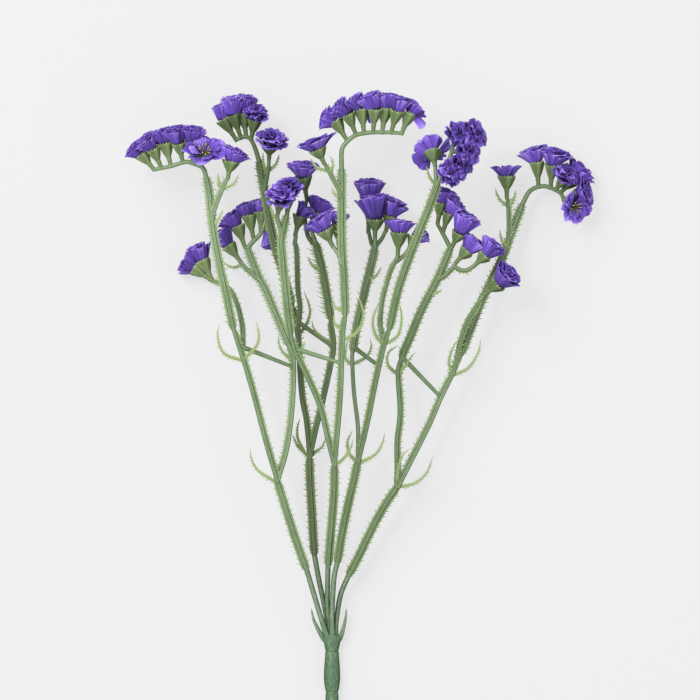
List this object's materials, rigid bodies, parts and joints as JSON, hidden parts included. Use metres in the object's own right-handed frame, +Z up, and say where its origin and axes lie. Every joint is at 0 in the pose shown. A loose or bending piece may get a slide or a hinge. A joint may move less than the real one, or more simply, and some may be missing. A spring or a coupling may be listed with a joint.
{
  "type": "artificial statice spray",
  "caption": "Moulded plastic statice spray lying flat: a jointed stalk, forked fringed branches and spikes of violet pleated fabric florets.",
  "frame": {"origin": "on the surface, under the middle of the stalk's first swelling below the ring joint", "axes": "+Y along the stalk towards the flowers, +Z up off the surface the spray lies on, +X to the right seen from above"},
  "size_m": [0.2333, 0.3547, 0.054],
  "materials": {
    "stalk_green": "satin moulded plastic, blue-green",
    "branch_green": "satin moulded plastic, yellow-green at the fringe",
    "violet_fabric": "matte pleated fabric with pinked edges"
  },
  "bodies": {
    "root": {"branch_a": "branch_green", "branch_b": "branch_green", "branch_c": "branch_green", "branch_d": "branch_green", "branch_e": "branch_green", "collar": "stalk_green", "corolla_a1_side": "violet_fabric", "corolla_a2_hanging": "violet_fabric", "corolla_b1_inner": "violet_fabric", "corolla_b1_side": "violet_fabric", "corolla_b2_back": "violet_fabric", "corolla_b2_tip": "violet_fabric", "corolla_c2_back": "violet_fabric", "corolla_c2_low": "violet_fabric", "corolla_c2_side": "violet_fabric", "corolla_d2_right": "violet_fabric", "corolla_d2_side": "violet_fabric", "corolla_d2_tip": "violet_fabric", "corolla_e2_side": "violet_fabric", "corolla_e2_top": "violet_fabric", "corollas_a1_low": "violet_fabric", "corollas_a1_spike": "violet_fabric", "corollas_a2_spike": "violet_fabric", "corollas_b1_spike": "violet_fabric", "corollas_c1_tip": "violet_fabric", "corollas_c2_spike": "violet_fabric", "corollas_d1_spike": "violet_fabric", "corollas_d2_spike": "violet_fabric", "corollas_e1_spike": "violet_fabric", "corollas_e2_spike": "violet_fabric", "stalk": "stalk_green"}
  },
  "joints": []
}
